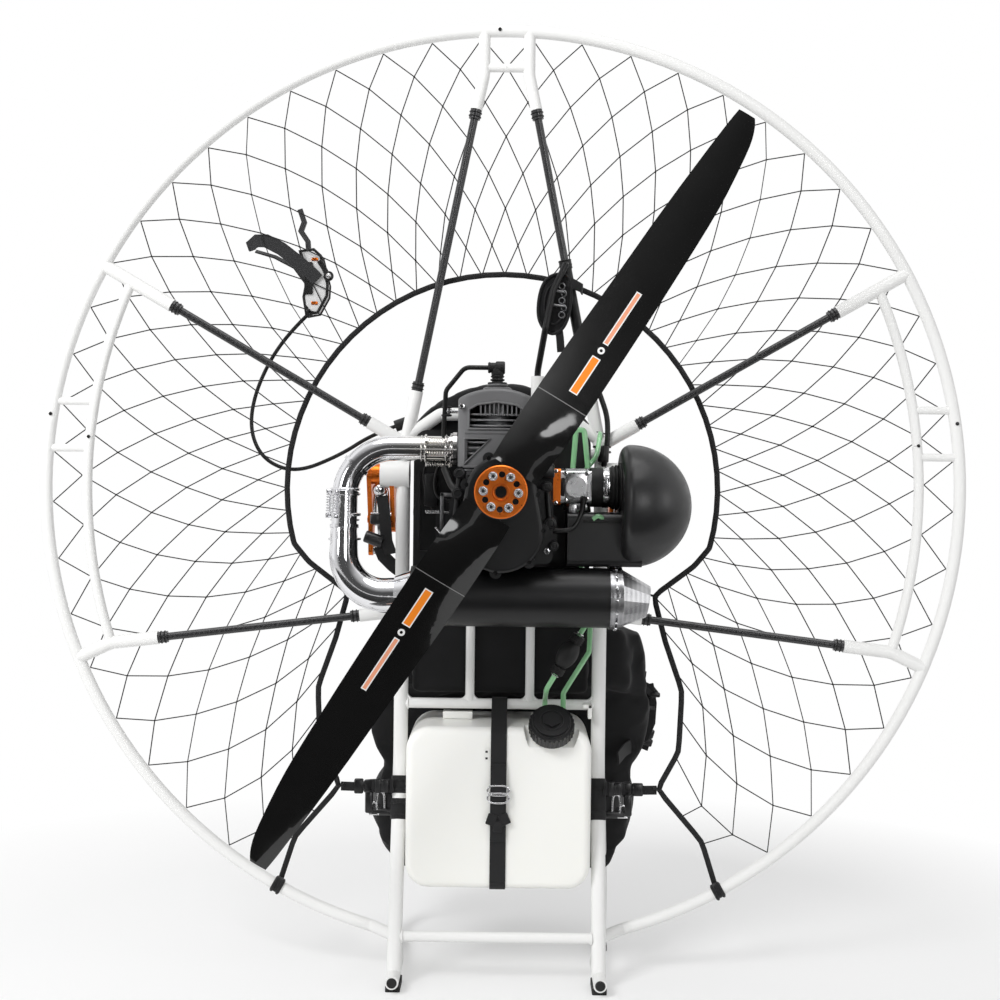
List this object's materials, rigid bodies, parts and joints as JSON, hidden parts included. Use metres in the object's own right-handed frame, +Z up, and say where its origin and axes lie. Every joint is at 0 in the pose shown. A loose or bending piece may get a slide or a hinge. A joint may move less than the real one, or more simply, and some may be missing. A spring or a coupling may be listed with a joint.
{
  "type": "paramotor",
  "caption": "Backpack power unit for a paraglider: welded frame with skids, round cage on spars, two-stroke engine, two-blade pusher propeller, tank and harness.",
  "frame": {"origin": "on the floor below the middle of the machine's box, at rest on its skids", "axes": "+X to the right seen from behind, +Y towards the pilot's side, +Z up; the propeller is at -Y"},
  "size_m": [1.422, 0.648, 1.456],
  "materials": {
    "white_paint": "gloss white powder coat",
    "black_rubber": "matt rubber",
    "carbon": "dark carbon tube",
    "orange_anodised": "orange anodised",
    "bright_aluminium": "machined",
    "webbing": "woven webbing",
    "black_paint": "satin black",
    "grey_casting": "cast and machined",
    "shroud_grey": "dark grey moulding",
    "cable_black": "smooth black sheath",
    "chrome": "polished",
    "black_plastic": "satin moulding",
    "tank_plastic": "translucent white",
    "green_hose": "clear green hose",
    "black_cloth": "heavy woven cloth",
    "grip_grey": "moulded grip",
    "black_gloss": "lacquered carbon",
    "steel": "bright screws"
  },
  "bodies": {
    "frame": {"airbox": "black_plastic", "back_ladder": "white_paint", "cage_lower_left": "white_paint", "cage_lower_right": "white_paint", "cage_upper_left": "white_paint", "cage_upper_right": "white_paint", "carburettor": "bright_aluminium", "cooling_shroud": "shroud_grey", "crankcase": "black_paint", "cylinder": "grey_casting", "engine_cross_tube": "white_paint", "engine_mounts": "black_rubber", "engine_plate": "black_paint", "exhaust_pipe": "chrome", "frame_arch": "white_paint", "fuel_hoses": "green_hose", "fuel_tank": "tank_plastic", "gearbox_housing": "black_paint", "harness_back": "black_cloth", "harness_seat": "black_cloth", "ignition_lead": "cable_black", "intake_sleeve": "black_rubber", "intake_spacer": "orange_anodised", "low_cross_tube": "white_paint", "lower_spar_left": "carbon", "lower_spar_right": "carbon", "net_edge": "webbing", "primer_bulb": "black_rubber", "shoulder_straps": "webbing", "side_spar_left": "carbon", "side_spar_right": "carbon", "silencer": "black_paint", "silencer_tip": "chrome", "skid_left": "white_paint", "skid_pads": "black_rubber", "skid_plug_left": "black_rubber", "skid_plug_right": "black_rubber", "skid_right": "white_paint", "spark_plug_cap": "black_rubber", "starter_guide": "black_paint", "starter_housing": "black_paint", "starter_pull": "black_plastic", "swing_bracket_left": "orange_anodised", "swing_bracket_right": "orange_anodised", "tank_cap": "black_plastic", "tank_strap": "webbing", "throttle_cable": "cable_black", "throttle_clip": "cable_black", "throttle_grip": "grip_grey", "throttle_lever": "grip_grey", "upper_spar_left": "carbon", "upper_spar_right": "carbon", "upright_left": "white_paint", "upright_right": "white_paint"},
    "propeller": {"output_flange": "bright_aluminium", "propeller": "black_gloss", "hub_plate": "orange_anodised", "hub_bolts": "steel"},
    "arm_left": {"swing_arm_left": "bright_aluminium"},
    "arm_right": {"swing_arm_right": "bright_aluminium"}
  },
  "joints": [
    {"name": "propeller_spin", "type": "hinge", "parent": "frame", "child": "propeller", "pos_m": [0, -0.278, 0.745], "axis": [0, 1, 0], "continuous": true},
    {"name": "arm_left_swing", "type": "hinge", "parent": "frame", "child": "arm_left", "pos_m": [-0.188, -0.021, 0.697], "axis": [1, 0, 0], "range_deg": [0, 40]},
    {"name": "arm_right_swing", "type": "hinge", "parent": "frame", "child": "arm_right", "pos_m": [0.188, -0.021, 0.697], "axis": [1, 0, 0], "range_deg": [0, 40]}
  ]
}
